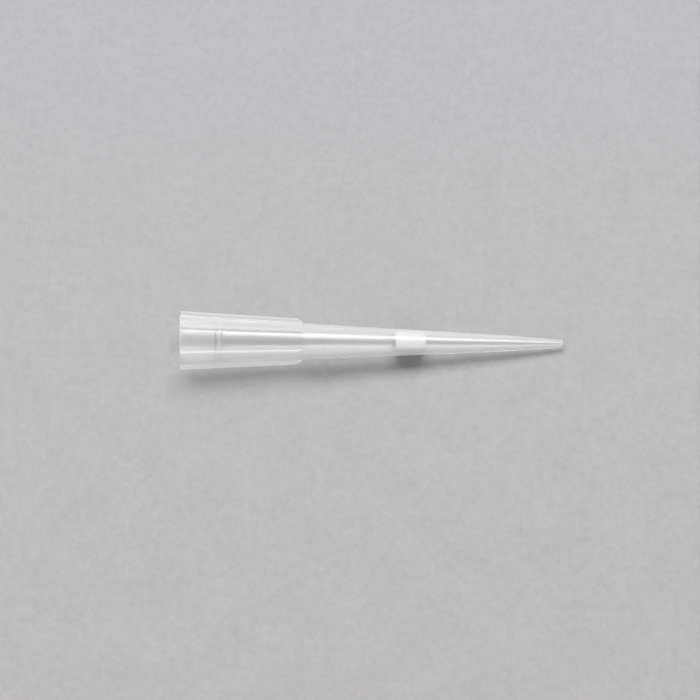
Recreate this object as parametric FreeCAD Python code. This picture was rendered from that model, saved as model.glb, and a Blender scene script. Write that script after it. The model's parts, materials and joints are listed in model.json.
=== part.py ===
"""Filter pipette tip, lying on its side as it comes to rest.

The tip is two pieces: a moulded clear polypropylene body and a white porous filter plug pressed
into its bore. Both are drawn about an axis that runs in +X from the mouth, where a pipette's
nozzle goes in, to the orifice at the nose. The body is a shell of revolution with ribs round its
head. At the end both pieces are tilted together, so that the tip lies on the ends of its two
lower ribs and on the ring where its nose starts. Units are millimetres and +Z is up.
"""
import FreeCAD, Part
import math
import os

# Outside of the body. Lengths are from the mouth.
LENGTH = 50.0
HEAD_END = 15.9  # the ribbed head meets the plain tube
HEAD_MOUTH_RADIUS = 3.25
HEAD_END_RADIUS = 2.44
TUBE_START_RADIUS = 2.39
NOSE_START = 42.8  # the taper gets steeper from here on
NOSE_START_RADIUS = 1.02
NOSE_END_RADIUS = 0.50
RIM_EDGE = 0.04  # rounding of the mouth's outer edge
NOSE_EDGE = 0.22  # rounding of the nose's outer edge

# Ribs round the head
RIB_COUNT = 6
RIB_MOUTH_RADIUS = 3.80  # of their crests
RIB_END_RADIUS = 2.93
RIB_MOUTH_WIDTH = 0.48  # they thin towards the nose, so that the mould draws off
RIB_END_WIDTH = 0.42
RIB_CREST_EDGE = 0.18
RIB_ROOT = 0.08
RIB_START = 0.05  # from the mouth
RIB_START_LENGTH = 0.05  # slope from the wall up to the crests
RIB_SHOULDER_LENGTH = 0.75  # slope down at the head's end
RIB_SHOULDER_ANGLE = 25.0
RIB_SHOULDER_EDGE = 0.25

# Bore, from the mouth inwards
LEAD_IN_RADIUS = 3.05
LEAD_IN_LENGTH = 0.35
SOCKET_START_RADIUS = 2.84
SOCKET_END = 4.52
SOCKET_END_RADIUS = 2.76
SEAL_START = 4.72  # cylindrical land that seals on a pipette's nozzle
SEAL_END = 5.26
SEAL_RADIUS = 2.56
BORE_START = 5.42
BORE_START_RADIUS = 2.40
ORIFICE_RADIUS = 0.23

# Filter plug
PLUG_START = 27.9
PLUG_LENGTH = 4.0

AXIS = FreeCAD.Vector(1, 0, 0)
ORIGIN = FreeCAD.Vector(0, 0, 0)
OVERRUN = 1.0  # how far the ribbed cone is drawn past the head before it is trimmed


def between(start, end, along):
    """Value at a distance along the axis, on the straight line between two (along, value) points."""
    share = (along - start[0]) / (end[0] - start[0])
    return start[1] + share * (end[1] - start[1])


def wall_radius(along):
    """Outside of the head between its ribs."""
    return between((0, HEAD_MOUTH_RADIUS), (HEAD_END, HEAD_END_RADIUS), along)


def crest_radius(along):
    return between((0, RIB_MOUTH_RADIUS), (HEAD_END, RIB_END_RADIUS), along)


def rib_width(along):
    return between((0, RIB_MOUTH_WIDTH), (HEAD_END, RIB_END_WIDTH), along)


def bore_radius(along):
    """Long taper of the bore, which the filter plug fits."""
    return between((BORE_START, BORE_START_RADIUS), (LENGTH, ORIFICE_RADIUS), along)


def revolve(profile):
    """Turns a closed profile of (along, radius) points about the axis, with its seam underneath."""
    corners = [FreeCAD.Vector(along, 0, -radius) for along, radius in profile]
    face = Part.Face(Part.makePolygon(corners + corners[:1]))
    return face.revolve(ORIGIN, AXIS, 360)


def ring_edge(solid, along, radius):
    """The circular edge that one corner of a revolved profile has drawn."""
    for edge in solid.Edges:
        curve = edge.Curve
        if isinstance(curve, Part.Circle):
            if math.isclose(curve.Radius, radius, abs_tol=1e-4):
                if math.isclose(curve.Center.x, along, abs_tol=1e-4):
                    return edge
    raise ValueError(f"no ring of radius {radius} at {along}")


def round_ring(solid, along, radius, rounding):
    return solid.makeFillet(rounding, [ring_edge(solid, along, radius)]).Solids[0]


def long_edges(solid, radius_at):
    """The edges that run the solid's whole length on the cone of radius_at, but not the seam."""
    found = []
    for edge in solid.Edges:
        middle = edge.valueAt((edge.FirstParameter + edge.LastParameter) / 2)
        on_cone = math.isclose(math.hypot(middle.y, middle.z), radius_at(middle.x), abs_tol=1e-3)
        if on_cone and edge.Length > HEAD_END and abs(middle.y) > 1e-3:
            found.append(edge)
    return found


def rib():
    """One blade, straight up, whose crest lies on the crests' cone. It runs past both ends."""
    first = -OVERRUN
    last = HEAD_END + OVERRUN
    cone = revolve([(first, 0), (first, crest_radius(first)), (last, crest_radius(last)), (last, 0)])
    foot = SEAL_RADIUS / 2
    corners = [
        FreeCAD.Vector(first, rib_width(first) / 2, foot),
        FreeCAD.Vector(last, rib_width(last) / 2, foot),
        FreeCAD.Vector(last, -rib_width(last) / 2, foot),
        FreeCAD.Vector(first, -rib_width(first) / 2, foot),
    ]
    plan = Part.Face(Part.makePolygon(corners + corners[:1]))
    return plan.extrude(FreeCAD.Vector(0, 0, RIB_MOUTH_RADIUS)).common(cone)


def ribbed_cone():
    """The head's wall and ribs, with rounded crests and filleted roots, past both of its ends."""
    first = -OVERRUN
    last = HEAD_END + OVERRUN
    wall = revolve([(first, 0), (first, wall_radius(first)), (last, wall_radius(last)), (last, 0)])
    ribs = []
    for number in range(RIB_COUNT):
        blade = rib()
        blade.rotate(ORIGIN, AXIS, 360 / RIB_COUNT * (number + 0.5))
        ribs.append(blade)
    cone = wall.fuse(ribs)
    cone = cone.makeFillet(RIB_CREST_EDGE, long_edges(cone, crest_radius))
    return cone.makeFillet(RIB_ROOT, long_edges(cone, wall_radius))


def head_envelope():
    """What the ribbed cone is trimmed to: rounded rim, sloped starts and shoulders for the ribs."""
    outside = RIB_MOUTH_RADIUS + 1
    start_slope = (RIB_MOUTH_RADIUS - HEAD_MOUTH_RADIUS) / RIB_START_LENGTH
    end_slope = math.tan(math.radians(RIB_SHOULDER_ANGLE))
    crest_end = HEAD_END - RIB_SHOULDER_LENGTH
    corner_radius = crest_radius(crest_end) - RIB_SHOULDER_LENGTH * end_slope
    solid = revolve(
        [
            (0, 0),
            (0, HEAD_MOUTH_RADIUS),
            (RIB_START, HEAD_MOUTH_RADIUS),
            (RIB_START + (outside - HEAD_MOUTH_RADIUS) / start_slope, outside),
            (HEAD_END - (outside - corner_radius) / end_slope, outside),
            (HEAD_END, corner_radius),
            (HEAD_END, 0),
        ]
    )
    solid = round_ring(solid, 0, HEAD_MOUTH_RADIUS, RIM_EDGE)
    return round_ring(solid, HEAD_END, corner_radius, RIB_SHOULDER_EDGE)


def tube_and_nose():
    solid = revolve(
        [
            (HEAD_END, 0),
            (HEAD_END, TUBE_START_RADIUS),
            (NOSE_START, NOSE_START_RADIUS),
            (LENGTH, NOSE_END_RADIUS),
            (LENGTH, 0),
        ]
    )
    return round_ring(solid, LENGTH, NOSE_END_RADIUS, NOSE_EDGE)


def bore():
    """The space inside the body, open at both ends."""
    return revolve(
        [
            (0, 0),
            (0, LEAD_IN_RADIUS),
            (LEAD_IN_LENGTH, SOCKET_START_RADIUS),
            (SOCKET_END, SOCKET_END_RADIUS),
            (SEAL_START, SEAL_RADIUS),
            (SEAL_END, SEAL_RADIUS),
            (BORE_START, BORE_START_RADIUS),
            (LENGTH, ORIFICE_RADIUS),
            (LENGTH, 0),
        ]
    )


def tip_body():
    head = ribbed_cone().common(head_envelope())
    outside = head.fuse(tube_and_nose()).removeSplitter()
    return outside.cut(bore()).Solids[0]


def filter_plug():
    """Porous plug with the bore's taper, so that it meets the wall all round."""
    start = PLUG_START
    end = PLUG_START + PLUG_LENGTH
    return revolve([(start, 0), (start, bore_radius(start)), (end, bore_radius(end)), (end, 0)])


def rest_tilt():
    """Angle by which the nose lies lower than the mouth, when two ribs' ends and the nose's start touch."""
    crest_end = HEAD_END - RIB_SHOULDER_LENGTH
    crest = crest_radius(crest_end)
    half_width = math.asin((rib_width(crest_end) / 2 - RIB_CREST_EDGE) / crest)
    rib_depth = (crest - RIB_CREST_EDGE) * math.cos(math.pi / RIB_COUNT - half_width) + RIB_CREST_EDGE
    return math.degrees(math.atan((rib_depth - NOSE_START_RADIUS) / (NOSE_START - crest_end)))


def laid_down(shapes):
    """The shapes tilted to rest, with the origin under the middle of their box."""
    tilt = rest_tilt()
    for shape in shapes:
        shape.rotate(ORIGIN, FreeCAD.Vector(0, 1, 0), tilt)
    box = FreeCAD.BoundBox()
    for shape in shapes:
        box.add(shape.optimalBoundingBox(False))
    middle = box.Center
    for shape in shapes:
        shape.translate(FreeCAD.Vector(-middle.x, -middle.y, -box.ZMin))
    return shapes


os.makedirs("parts", exist_ok=True)
body, plug = laid_down([tip_body(), filter_plug()])
body.exportStep("parts/tip_body.step")
plug.exportStep("parts/filter_plug.step")
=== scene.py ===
"""Filter pipette tip of clear polypropylene with a white porous plug, lying on grey paper."""
import json
import math

import bpy
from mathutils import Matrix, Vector


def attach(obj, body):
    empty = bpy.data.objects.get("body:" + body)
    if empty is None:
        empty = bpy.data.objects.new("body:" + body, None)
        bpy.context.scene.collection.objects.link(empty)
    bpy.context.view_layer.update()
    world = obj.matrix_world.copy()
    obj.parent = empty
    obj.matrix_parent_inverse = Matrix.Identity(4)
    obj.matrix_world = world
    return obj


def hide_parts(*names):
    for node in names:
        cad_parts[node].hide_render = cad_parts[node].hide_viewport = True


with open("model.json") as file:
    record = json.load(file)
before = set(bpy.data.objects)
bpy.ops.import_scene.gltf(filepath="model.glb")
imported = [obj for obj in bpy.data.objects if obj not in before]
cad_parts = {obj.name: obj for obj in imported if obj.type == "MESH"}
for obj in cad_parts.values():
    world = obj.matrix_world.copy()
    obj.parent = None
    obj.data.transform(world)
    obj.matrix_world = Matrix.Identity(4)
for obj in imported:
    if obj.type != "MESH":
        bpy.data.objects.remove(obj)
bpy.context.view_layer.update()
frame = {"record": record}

MM = 0.001
NEAR = 0.001  # stations closer together than this are the same one

# Outside of the body in millimetres, as in the CAD model. Lengths along the axis are from the mouth.
LENGTH = 50.0
HEAD_END = 15.9  # the ribbed head meets the plain tube
HEAD_MOUTH_RADIUS = 3.25
HEAD_END_RADIUS = 2.44
TUBE_START_RADIUS = 2.39
NOSE_START = 42.8  # the taper gets steeper from here on
NOSE_START_RADIUS = 1.02
NOSE_END_RADIUS = 0.50
NOSE_EDGE = 0.22  # rounding of the nose's outer edge
RIM_EDGE = 0.04  # rounding of the mouth's outer edge

# Ribs round the head
RIB_COUNT = 6
RIB_MOUTH_RADIUS = 3.80  # of their crests
RIB_END_RADIUS = 2.93
RIB_MOUTH_WIDTH = 0.48
RIB_END_WIDTH = 0.42
RIB_CREST_EDGE = 0.18
RIB_ROOT = 0.08
RIB_ROUNDING_ROOM = 0.4  # each rounding takes at most this share of a rib's height
RIB_START = 0.05  # from the mouth
RIB_START_LENGTH = 0.05  # slope from the wall up to the crests
RIB_SHOULDER_LENGTH = 0.75  # slope down at the head's end
RIB_SHOULDER_ANGLE = 25.0
RIB_SHOULDER_EDGE = 0.25
LOWEST_RIB = 0.01  # where a rib would be lower than this, the section is round

# Bore, from the mouth inwards
LEAD_IN_RADIUS = 3.05
LEAD_IN_LENGTH = 0.35
SOCKET_START_RADIUS = 2.84
SOCKET_END = 4.52
SOCKET_END_RADIUS = 2.76
SEAL_START = 4.72  # cylindrical land that seals on a pipette's nozzle
SEAL_MIDDLE = 4.95  # the land is milkier from here to its inner end
SEAL_END = 5.26
SEAL_RADIUS = 2.56
BORE_START = 5.42
BORE_START_RADIUS = 2.40
ORIFICE_RADIUS = 0.23

# Roundings that only the looks have
NOSE_BEND = 30.0  # where the taper gets steeper
RIB_START_EDGE = 0.05
RIB_SHOULDER_BEND = 0.6  # where the shoulders' slopes start
LEAD_IN_BEND = 0.2
STEP_EDGE = 0.06  # of the steps in the bore

# Filter plug
PLUG_START = 27.9
PLUG_LENGTH = 4.0
PLUG_END = PLUG_START + PLUG_LENGTH
PLUG_AIR_GAP = 0.012  # the sintered surface touches the wall only at its grains

# Fineness of the meshes
PROFILE_ARC_STEPS = 6
RIM_ARC_ANGLE = 15  # degrees from one row of the rim's rounding to the next
CREST_STEPS = 3
RIB_ARC_STEPS = 5
GAP_STEPS = 14  # across the wall from rib to rib
HEAD_ROW_SPACING = 1.5
HEAD_ROW_MARGIN = 1.0  # the rim's and the shoulders' own rows are within this
PLUG_ROW_SPACING = 0.2
SHARP_ANGLE = 40  # degrees; an edge that turns further is not shaded smooth

# Share of the lamps' light that a surface lets through, at stops from face on, 0, to edge on, 1
HEAD_SHADE = [
    (0, 1), (0.04, 1), (0.06, 0.90), (0.1, 0.62), (0.15, 0.37),
    (0.2, 0.36), (0.3, 0.58), (0.4, 0.82), (0.5, 0.97), (1, 1),
]
TUBE_SHADE = [
    (0, 0.98), (0.06, 0.88), (0.1, 0.73), (0.15, 0.56), (0.2, 0.47),
    (0.3, 0.47), (0.4, 0.58), (0.55, 0.71), (1, 0.92),
]
PLUG_SHADE = [(0, 0.97), (0.31, 0.95), (0.37, 0.1), (1, 0.05)]
NO_SHADE = [(0, 0.99), (1, 0.99)]

# Colours
POLYPROPYLENE = (0.95, 0.955, 0.955, 1)
SEAL_GREY = (0.88, 0.885, 0.885, 1)
# Painted shade: the steps in the bore are greyer, for the dark lines that their slopes make by bending
# light away
STEP_PAINTED_SHADE = (0.74, 0.745, 0.75, 1)
PORE_GREY = (0.66, 0.665, 0.66, 1)
GRAIN_WHITE = (0.88, 0.885, 0.88, 1)
PAPER_BACK = (0.479, 0.482, 0.493, 1)
PAPER_FRONT = (0.502, 0.490, 0.499, 1)

# Finishes of the bore, from the nose back to the mouth, each with the station where it ends
BORE_FINISHES = [
    (HEAD_END, "bore"),
    (BORE_START, "head_bore"),
    (SEAL_END, "step"),
    (SEAL_MIDDLE, "seal"),
    (SEAL_START, "head_bore"),
    (SOCKET_END, "step"),
    (0, "socket"),
]

# The tip's axis in the row frame, from the socket's mount on it
SOCKET = next(m for m in frame["record"]["mounts"] if m["name"] == "nozzle_socket")
INWARD = -Vector(SOCKET["axis"]).normalized()
SIDE = Vector((0, 1, 0))
UPWARD = INWARD.cross(SIDE).normalized()
MOUTH = Vector(SOCKET["pos_m"]) - INWARD * (SEAL_START + SEAL_END) / 2 * MM


def between(start, end, along):
    """Value at a distance along the axis, on the straight line between two (along, value) points."""
    share = (along - start[0]) / (end[0] - start[0])
    return start[1] + share * (end[1] - start[1])


def wall_radius(along):
    """Outside of the head between its ribs, with the rim's rounding."""
    cone = between((0, HEAD_MOUTH_RADIUS), (HEAD_END, HEAD_END_RADIUS), along)
    if along >= RIM_EDGE:
        return cone
    return cone - RIM_EDGE + math.sqrt(RIM_EDGE**2 - (RIM_EDGE - along) ** 2)


def tube_radius(along):
    return between((HEAD_END, TUBE_START_RADIUS), (NOSE_START, NOSE_START_RADIUS), along)


def crest_radius(along):
    return between((0, RIB_MOUTH_RADIUS), (HEAD_END, RIB_END_RADIUS), along)


def rib_width(along):
    return between((0, RIB_MOUTH_WIDTH), (HEAD_END, RIB_END_WIDTH), along)


def bore_radius(along):
    """Long taper of the bore, which the filter plug fits."""
    return between((BORE_START, BORE_START_RADIUS), (LENGTH, ORIFICE_RADIUS), along)


def rounded(corners):
    """Points of an outline of (along, radius, rounding) corners, with each rounding as an arc."""
    points = []
    for number, (along, radius, rounding) in enumerate(corners):
        here = Vector((along, radius))
        if rounding == 0 or number in (0, len(corners) - 1):
            points.append(tuple(here))
            continue
        back = (Vector(corners[number - 1][:2]) - here).normalized()
        on = (Vector(corners[number + 1][:2]) - here).normalized()
        half = back.angle(on) / 2
        middle = here + (back + on).normalized() * rounding / math.sin(half)
        first = here + back * rounding / math.tan(half) - middle
        last = here + on * rounding / math.tan(half) - middle
        turn = first.angle(last)
        for step in range(PROFILE_ARC_STEPS + 1):
            share = step / PROFILE_ARC_STEPS
            spoke = first * math.sin((1 - share) * turn) + last * math.sin(share * turn)
            points.append(tuple(middle + spoke / math.sin(turn)))
    return points


def line_height(line, along):
    """Radius of an outline at a station, where it runs steadily along the axis."""
    for start, end in zip(line, line[1:]):
        if start[0] <= along <= end[0] and end[0] > start[0]:
            return between(start, end, along)
    return line[0][1]


def even_stations(start, end, spacing):
    count = max(1, round((end - start) / spacing))
    return [start + (end - start) * step / count for step in range(count + 1)]


def arc_points(middle, radius, start, end, steps):
    """Points (across, up) on an arc between two angles, measured from straight up."""
    found = []
    for step in range(steps + 1):
        angle = start + (end - start) * step / steps
        found.append((middle[0] + radius * math.sin(angle), middle[1] + radius * math.cos(angle)))
    return found


def half_rib(wall, crest, width):
    """Half a rib's section, from the middle of its crest to the foot of its root fillet."""
    room = RIB_ROUNDING_ROOM * (crest - wall)
    edge = min(RIB_CREST_EDGE, room)
    root = min(RIB_ROOT, room)
    edge_across = width / 2 - edge
    edge_up = math.sqrt((crest - edge) ** 2 - edge_across**2)
    root_across = width / 2 + root
    root_up = math.sqrt((wall + root) ** 2 - root_across**2)
    lean = math.atan2(edge_across, edge_up)
    foot = math.atan2(root_across, root_up)
    crest_top = arc_points((0, 0), crest, 0, lean, CREST_STEPS)[:-1]
    crest_edge = arc_points((edge_across, edge_up), edge, lean, math.pi / 2, RIB_ARC_STEPS)
    root_fillet = arc_points((root_across, root_up), root, -math.pi / 2, foot - math.pi, RIB_ARC_STEPS)
    return crest_top + crest_edge + root_fillet


def section(wall, crest, width):
    """The head's whole outline at one station as (angle, radius) points, angles from straight up."""
    half = [(math.atan2(*point), math.hypot(*point)) for point in half_rib(wall, crest, width)]
    pitch = 2 * math.pi / RIB_COUNT
    foot = half[-1][0]
    gap = [(foot + (pitch - 2 * foot) * step / GAP_STEPS, wall) for step in range(1, GAP_STEPS)]
    mirrored = [(pitch - angle, radius) for angle, radius in reversed(half[1:])]
    sector = half + gap + mirrored
    points = []
    for number in range(RIB_COUNT):
        points += [(angle + (number + 0.5) * pitch, radius) for angle, radius in sector]
    return points


COLUMN_ANGLES = [angle for angle, _ in section(HEAD_END_RADIUS, RIB_END_RADIUS, RIB_END_WIDTH)]


def on_rib(column):
    """Whether the faces from this column to the next are a rib's, not the wall's."""
    half = len(half_rib(HEAD_END_RADIUS, RIB_END_RADIUS, RIB_END_WIDTH)) - 1
    sector = len(COLUMN_ANGLES) // RIB_COUNT
    return not half <= column % sector < sector - half


def circle(along, radius):
    """A row of points at a station where the surface is round."""
    return along, [(angle, radius) for angle in COLUMN_ANGLES]


def head_rows():
    """Rows of the head's outside, from the rim to the ribs' end faces."""
    crest_start = RIB_START + RIB_START_LENGTH
    shoulder_start = HEAD_END - RIB_SHOULDER_LENGTH
    shoulder_drop = RIB_SHOULDER_LENGTH * math.tan(math.radians(RIB_SHOULDER_ANGLE))
    crest_line = rounded(
        [
            (RIB_START, HEAD_MOUTH_RADIUS, 0),
            (crest_start, crest_radius(crest_start), RIB_START_EDGE),
            (shoulder_start, crest_radius(shoulder_start), RIB_SHOULDER_BEND),
            (HEAD_END, crest_radius(shoulder_start) - shoulder_drop, RIB_SHOULDER_EDGE),
            (HEAD_END, HEAD_END_RADIUS, 0),
        ]
    )
    stations = {point[0] for point in crest_line[:-1]}
    rim_angles = range(0, 90 + 1, RIM_ARC_ANGLE)
    stations |= {RIM_EDGE * (1 - math.cos(math.radians(angle))) for angle in rim_angles}
    stations |= set(even_stations(HEAD_ROW_MARGIN, shoulder_start - HEAD_ROW_MARGIN, HEAD_ROW_SPACING))
    rows = []
    for along in sorted(stations):
        wall = wall_radius(along)
        crest = line_height(crest_line, along)
        if crest - wall < LOWEST_RIB:
            rows.append(circle(along, wall))
        else:
            rows.append((along, section(wall, crest, rib_width(along))))
    rows.append(circle(HEAD_END, HEAD_END_RADIUS))
    return rows


def tube_rows():
    """Rows of the plain tube's and nose's outside, down to the orifice's edge."""
    outline = rounded(
        [
            (HEAD_END, TUBE_START_RADIUS, 0),
            (PLUG_START, tube_radius(PLUG_START), 0),
            (PLUG_END, tube_radius(PLUG_END), 0),
            (NOSE_START, NOSE_START_RADIUS, NOSE_BEND),
            (LENGTH, NOSE_END_RADIUS, NOSE_EDGE),
            (LENGTH, ORIFICE_RADIUS, 0),
        ]
    )
    return [circle(*point) for point in outline]


def bore_rows():
    """Rows of the inside, from the orifice back to the mouth."""
    outline = rounded(
        [
            (LENGTH, ORIFICE_RADIUS, 0),
            (HEAD_END, bore_radius(HEAD_END), 0),
            (BORE_START, BORE_START_RADIUS, STEP_EDGE),
            (SEAL_END, SEAL_RADIUS, STEP_EDGE),
            (SEAL_MIDDLE, SEAL_RADIUS, 0),
            (SEAL_START, SEAL_RADIUS, STEP_EDGE),
            (SOCKET_END, SOCKET_END_RADIUS, STEP_EDGE),
            (LEAD_IN_LENGTH, SOCKET_START_RADIUS, LEAD_IN_BEND),
            (0, LEAD_IN_RADIUS, 0),
        ]
    )
    return [circle(*point) for point in outline]


def place(along, angle, radius):
    """A point given round the tip's axis, in the row frame and metres."""
    across = SIDE * math.sin(angle) * radius + UPWARD * math.cos(angle) * radius
    return MOUTH + (INWARD * along + across) * MM


def add_object(name, data):
    made = bpy.data.objects.new(name, data)
    bpy.context.scene.collection.objects.link(made)
    return made


def skin(name, rows, ends_meet):
    """A mesh object through rows of equally many points. Its ends meet, or flat faces close them."""
    points = [tuple(place(along, angle, radius)) for along, ring in rows for angle, radius in ring]
    columns = len(rows[0][1])
    faces = []
    for row in range(len(rows) if ends_meet else len(rows) - 1):
        this = row * columns
        after = (row + 1) % len(rows) * columns
        for column in range(columns):
            beside = (column + 1) % columns
            faces.append((this + column, after + column, after + beside, this + beside))
    if not ends_meet:
        faces.append(tuple(range(columns)))
        faces.append(tuple(reversed(range((len(rows) - 1) * columns, len(rows) * columns))))
    mesh = bpy.data.meshes.new(name)
    mesh.from_pydata(points, [], faces)
    mesh.validate()
    mesh.update()
    mesh.shade_smooth()
    mesh.set_sharp_from_angle(angle=math.radians(SHARP_ANGLE))
    return add_object(name, mesh)


def make_body():
    head = head_rows()
    outside = head + tube_rows()
    rows = outside + bore_rows()
    body = skin("moulded_body", rows, ends_meet=True)
    finishes = body_finishes()
    for material in finishes.values():
        body.data.materials.append(material)
    numbers = {name: number for number, name in enumerate(finishes)}
    for face in body.data.polygons:
        row, column = divmod(face.index, len(COLUMN_ANGLES))
        along = rows[row][0]
        on_head = row < len(head) - 1
        if row == len(rows) - 1 or (on_head and along < RIM_EDGE):
            name = "rim"
        elif on_head:
            name = "ribs" if on_rib(column) else "head"
        elif row < len(outside) - 1:
            name = "over_plug" if PLUG_START - NEAR < along < PLUG_END - NEAR else "wall"
        else:
            name = next(finish for end, finish in BORE_FINISHES if along > end + NEAR)
        face.material_index = numbers[name]
    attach(body, "root")
    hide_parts("tip_body")


def make_plug():
    rows = []
    for along in even_stations(PLUG_START, PLUG_END, PLUG_ROW_SPACING):
        rows.append(circle(along, bore_radius(along) - PLUG_AIR_GAP))
    plug = skin("porous_plug", rows, ends_meet=False)
    plug.data.materials.append(sintered_plastic())
    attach(plug, "root")
    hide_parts("filter_plug")


def new_material(name):
    material = bpy.data.materials.new(name)
    material.use_nodes = True
    return material, material.node_tree.nodes, material.node_tree.links


def set_inputs(node, values):
    for name, value in values.items():
        node.inputs[name].default_value = value


def map_range(nodes, taken, given):
    """A node that turns values of one range into those of another."""
    node = nodes.new("ShaderNodeMapRange")
    set_inputs(node, {"From Min": taken[0], "From Max": taken[1], "To Min": given[0], "To Max": given[1]})
    return node


def larger(nodes, links, first, second):
    """The larger of two outputs, as an output."""
    node = nodes.new("ShaderNodeMath")
    node.operation = "MAXIMUM"
    links.new(first, node.inputs[0])
    links.new(second, node.inputs[1])
    return node.outputs["Value"]


def grey_ramp(nodes, levels):
    """A ramp of grey (place, level) stops, of which the first is at 0 and the last at 1."""
    ramp = nodes.new("ShaderNodeValToRGB")
    stops = ramp.color_ramp.elements
    for position, _ in levels[1:-1]:
        stops.new(position)
    for stop, (_, level) in zip(stops, levels):
        stop.color = (level, level, level, 1)
    return ramp


def mix_colours(nodes, first, second):
    mix = nodes.new("ShaderNodeMix")
    mix.data_type = "RGBA"
    set_inputs(mix, {"A": first, "B": second})
    return mix


def grain(nodes, links, where, size, detail):
    """Noise with grains of about a size in metres, as an output."""
    noise = nodes.new("ShaderNodeTexNoise")
    set_inputs(noise, {"Scale": 1 / size, "Detail": detail})
    links.new(where.outputs["Object"], noise.inputs["Vector"])
    return noise.outputs["Fac"]


def body_finishes():
    """Materials of the clear plastic, by kind of surface."""
    looks = {
        "wall": dict(clearness=(0.92, 0.4), passing=TUBE_SHADE, shine=0.4, gloss=(0.45, 0.28, 8)),
        "over_plug": dict(clearness=(0.92, 0.4), passing=PLUG_SHADE, shine=0.1, gloss=(0.05, 0.24, 8)),
        "head": dict(clearness=(0.94, 0.45), passing=HEAD_SHADE, shine=0.1),
        "ribs": dict(clearness=(0.8, 0.3), milky_from_to=(0.2, 0.5), roughness=0.36, shine=0.45),
        "rim": dict(clearness=(0.0, 0.0), roughness=0.3, shine=0.6),
        "socket": dict(clearness=(0.76, 0.2), roughness=0.26, shine=0.5),
        # the steps' grey is painted shade, for the dark lines that their slopes make
        "step": dict(clearness=(0.6, 0.4), roughness=0.3, shine=0.1, colour=STEP_PAINTED_SHADE),
        "seal": dict(clearness=(0.2, 0.3), roughness=0.3, shine=0.1, colour=SEAL_GREY),
        "head_bore": dict(clearness=(0.87, 0.3), roughness=0.25, shine=0.8),
        "bore": dict(clearness=(0.78, 0.3), shine=0.85),
    }
    return {name: clear_plastic(f"polypropylene_{name}", **look) for name, look in looks.items()}


def clear_plastic(
    name,
    clearness,
    shine,
    milky_from_to=(0, 1),
    passing=NO_SHADE,
    roughness=0.28,
    gloss=None,
    colour=POLYPROPYLENE,
):
    """Polypropylene, clear but milky, as it looks on one kind of surface.

    clearness: how clear it is face on and edge on
    shine: strength of its reflections
    milky_from_to: where it turns milky, on the way from face on, 0, to edge on, 1
    passing: share of the lamps' light that gets through, at stops on that way
    gloss: weight, roughness and lean of its coat, if it has one
    """
    material, nodes, links = new_material(name)
    plastic = nodes["Principled BSDF"]
    set_inputs(
        plastic,
        {
            "Base Color": colour,
            "IOR": 1.49,
            "Roughness": roughness,
            "Specular Tint": (shine, shine, shine, 1),
        },
    )
    if gloss:
        add_coat(nodes, links, plastic, *gloss)
    edge = nodes.new("ShaderNodeLayerWeight")
    clear = map_range(nodes, milky_from_to, clearness)
    links.new(edge.outputs["Facing"], clear.inputs["Value"])
    links.new(clear.outputs["Result"], plastic.inputs["Transmission Weight"])
    shade = grey_ramp(nodes, passing)
    links.new(edge.outputs["Facing"], shade.inputs["Fac"])
    surface = let_light_pass(nodes, links, plastic, shade)
    links.new(surface.outputs["Shader"], nodes["Material Output"].inputs["Surface"])
    return material


def add_coat(nodes, links, plastic, weight, roughness, lean):
    """A coat that also stands for the inner wall's reflection.

    The inner wall's highlight lies nearer to the tip's axis. The coat's normal leans to the back by some
    degrees, which moves the coat's highlight there.
    """
    set_inputs(plastic, {"Coat Weight": weight, "Coat Roughness": roughness})
    leaned = nodes.new("ShaderNodeVectorRotate")
    leaned.rotation_type = "X_AXIS"
    leaned.inputs["Angle"].default_value = math.radians(-lean)
    links.new(nodes.new("ShaderNodeNewGeometry").outputs["Normal"], leaned.inputs["Vector"])
    links.new(leaned.outputs["Vector"], plastic.inputs["Coat Normal"])


def let_light_pass(nodes, links, plastic, shade):
    """The plastic's shader, with a way straight through it for light that lights other things.

    Light that the plastic bends isn't traced to the paper. So a share of the lamps' light goes straight
    on, and so does all the light that one matt surface sends another.
    """
    path = nodes.new("ShaderNodeLightPath")
    from_matt = path.outputs["Is Diffuse Ray"]
    passed = nodes.new("ShaderNodeBsdfTransparent")
    links.new(larger(nodes, links, shade.outputs["Color"], from_matt), passed.inputs["Color"])
    surface = nodes.new("ShaderNodeMixShader")
    links.new(larger(nodes, links, path.outputs["Is Shadow Ray"], from_matt), surface.inputs["Fac"])
    links.new(plastic.outputs["BSDF"], surface.inputs[1])
    links.new(passed.outputs["BSDF"], surface.inputs[2])
    return surface


def sintered_plastic():
    """White porous plastic. It glows through, so its shading leans towards the top."""
    grain_size = 1 / 6000
    upward_lean = 3
    material, nodes, links = new_material("sintered_polyethylene")
    shader = nodes["Principled BSDF"]
    set_inputs(
        shader,
        {
            "Roughness": 0.9,
            "Subsurface Weight": 1.0,
            "Subsurface Scale": 0.0005,
            "Subsurface Radius": (1, 1, 1),
        },
    )
    where = nodes.new("ShaderNodeTexCoord")
    colour = mix_colours(nodes, PORE_GREY, GRAIN_WHITE)
    links.new(grain(nodes, links, where, grain_size, detail=2), colour.inputs["Factor"])
    links.new(colour.outputs["Result"], shader.inputs["Base Color"])
    lifted = nodes.new("ShaderNodeVectorMath")
    lifted.inputs[1].default_value = (0, 0, upward_lean)
    links.new(nodes.new("ShaderNodeNewGeometry").outputs["Normal"], lifted.inputs[0])
    evened = nodes.new("ShaderNodeVectorMath")
    evened.operation = "NORMALIZE"
    links.new(lifted.outputs["Vector"], evened.inputs[0])
    links.new(evened.outputs["Vector"], shader.inputs["Normal"])
    return material


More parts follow.
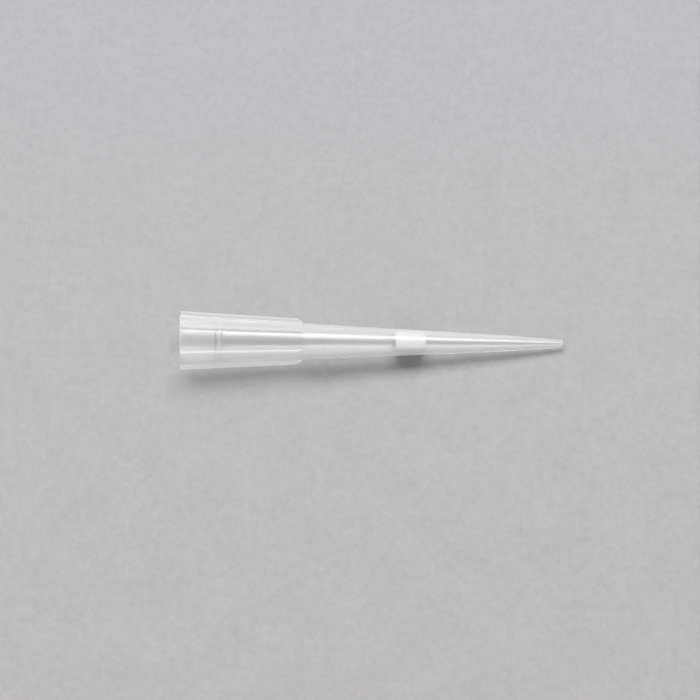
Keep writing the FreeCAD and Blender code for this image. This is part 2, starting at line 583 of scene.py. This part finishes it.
def paper():
    """Pale grey paper with a faint grain, a little warmer and lighter towards the front."""
    back = 0.04
    front = -0.045
    material, nodes, links = new_material("grey_paper")
    shader = nodes["Principled BSDF"]
    set_inputs(shader, {"Roughness": 1.0, "Specular IOR Level": 0.0})
    where = nodes.new("ShaderNodeTexCoord")
    split = nodes.new("ShaderNodeSeparateXYZ")
    links.new(where.outputs["Object"], split.inputs["Vector"])
    drift = map_range(nodes, (back, front), (0, 1))
    links.new(split.outputs["Y"], drift.inputs["Value"])
    tint = mix_colours(nodes, PAPER_BACK, PAPER_FRONT)
    links.new(drift.outputs["Result"], tint.inputs["Factor"])
    colour = tint.outputs["Result"]
    for size, strength in ((0.0005, 0.08), (0.0012, 0.09), (0.006, 0.05)):
        level = map_range(nodes, (0, 1), (1 - strength, 1 + strength))
        links.new(grain(nodes, links, where, size, detail=3), level.inputs["Value"])
        scaled = nodes.new("ShaderNodeVectorMath")
        scaled.operation = "SCALE"
        links.new(colour, scaled.inputs["Vector"])
        links.new(level.outputs["Result"], scaled.inputs["Scale"])
        colour = scaled.outputs["Vector"]
    links.new(colour, shader.inputs["Base Color"])
    return material


def make_floor():
    half = 1.5
    mesh = bpy.data.meshes.new("floor")
    corners = [(-half, -half, 0), (half, -half, 0), (half, half, 0), (-half, half, 0)]
    mesh.from_pydata(corners, [], [(0, 1, 2, 3)])
    mesh.materials.append(paper())
    add_object("floor", mesh)


def make_key_light():
    """A wide softbox behind the tip and above it, a little to the left."""
    height = math.radians(47)  # above the floor
    around = math.radians(-6)  # from straight behind
    distance = 1.6
    flat = math.cos(height)
    toward = Vector((math.sin(around) * flat, math.cos(around) * flat, math.sin(height)))
    lamp = bpy.data.lights.new("key", "AREA")
    lamp.shape = "RECTANGLE"
    lamp.size = 1.56
    lamp.size_y = 0.54
    lamp.energy = 31.5
    softbox = add_object("key", lamp)
    softbox.location = toward * distance
    softbox.rotation_euler = toward.to_track_quat("Z", "Y").to_euler()


def make_fill_light():
    """A soft light from all round that is brighter from the front."""
    sideways = -0.1  # Y of the direction that the light comes from
    in_front = -0.97
    weak = 0.08
    strong = 1.15
    world = bpy.data.worlds.new("fill")
    world.use_nodes = True
    nodes, links = world.node_tree.nodes, world.node_tree.links
    direction = nodes.new("ShaderNodeTexCoord")
    split = nodes.new("ShaderNodeSeparateXYZ")
    links.new(direction.outputs["Generated"], split.inputs["Vector"])
    strength = map_range(nodes, (sideways, in_front), (weak, strong))
    strength.interpolation_type = "SMOOTHSTEP"
    links.new(split.outputs["Y"], strength.inputs["Value"])
    background = nodes["Background"]
    background.inputs["Color"].default_value = (1, 1, 1, 1)
    links.new(strength.outputs["Result"], background.inputs["Strength"])
    bpy.context.scene.world = world


def make_camera():
    """Straight above the tip, turned so slightly that the tip's nose drops to the right."""
    distance = 0.4
    picture_width = 0.0911
    aim_along = 22.13 * MM
    aim_in_front = 1.05 * MM
    roll = math.radians(0.47)
    lens = bpy.data.cameras.new("camera")
    lens.sensor_width = 36
    lens.lens = lens.sensor_width * distance / picture_width
    camera = add_object("camera", lens)
    aim = MOUTH + INWARD * aim_along
    camera.location = (aim.x, aim.y - aim_in_front, aim.z + distance)
    camera.rotation_euler.z = roll
    bpy.context.scene.camera = camera


make_camera()
make_body()
make_plug()
make_floor()
make_key_light()
make_fill_light()
bpy.context.scene.view_settings.view_transform = "Standard"
